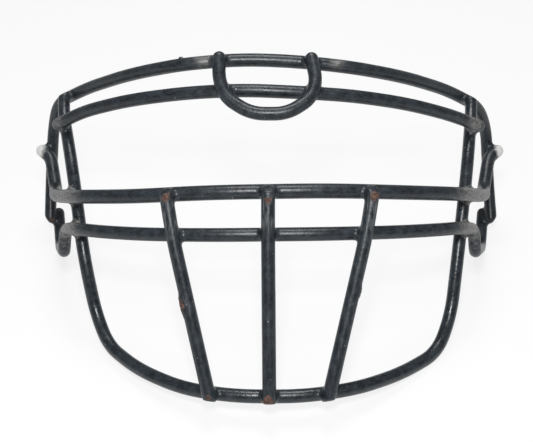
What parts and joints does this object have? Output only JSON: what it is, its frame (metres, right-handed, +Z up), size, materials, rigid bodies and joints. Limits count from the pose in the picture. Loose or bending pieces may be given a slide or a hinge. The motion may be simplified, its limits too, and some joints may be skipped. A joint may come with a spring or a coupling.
{
  "type": "football helmet facemask",
  "caption": "Welded steel wire football facemask in worn dark coating, with brow bars, cross bars, uprights, rear loops and hooks, standing on its chin bar.",
  "frame": {"origin": "bottom centre of the bounding box, on the surface that the cage stands on", "axes": "X along the cage's width, front of the cage towards -Y, +Z up; the cage leans back as it stands on its chin bar and hooks; left and right in names are as seen from in front"},
  "size_m": [0.2556, 0.1656, 0.1269],
  "materials": {
    "steel_wire": "bare",
    "dipped_coating": "satin",
    "weld_metal": "satin"
  },
  "bodies": {
    "root": {"upper_cross_wire": "steel_wire", "lower_cross_wire": "steel_wire", "chin_wire": "steel_wire", "lower_brow_wire": "steel_wire", "top_brow_wire": "steel_wire", "u_bar_wire": "steel_wire", "center_upright_wire": "steel_wire", "left_upright_wire": "steel_wire", "right_upright_wire": "steel_wire", "upper_cross_coating": "dipped_coating", "lower_cross_coating": "dipped_coating", "chin_coating": "dipped_coating", "lower_brow_coating": "dipped_coating", "top_brow_coating": "dipped_coating", "u_bar_coating": "dipped_coating", "center_upright_coating": "dipped_coating", "left_upright_coating": "dipped_coating", "right_upright_coating": "dipped_coating", "brow_corner_welds": "weld_metal", "lower_brow_welds": "weld_metal", "u_bar_upper_welds": "weld_metal", "u_bar_lower_welds": "weld_metal", "upper_cross_side_welds": "weld_metal", "lower_cross_side_welds": "weld_metal", "loop_welds": "weld_metal", "hook_welds": "weld_metal", "upper_cross_upright_welds": "weld_metal", "lower_cross_upright_welds": "weld_metal", "chin_upright_welds": "weld_metal"}
  },
  "joints": []
}
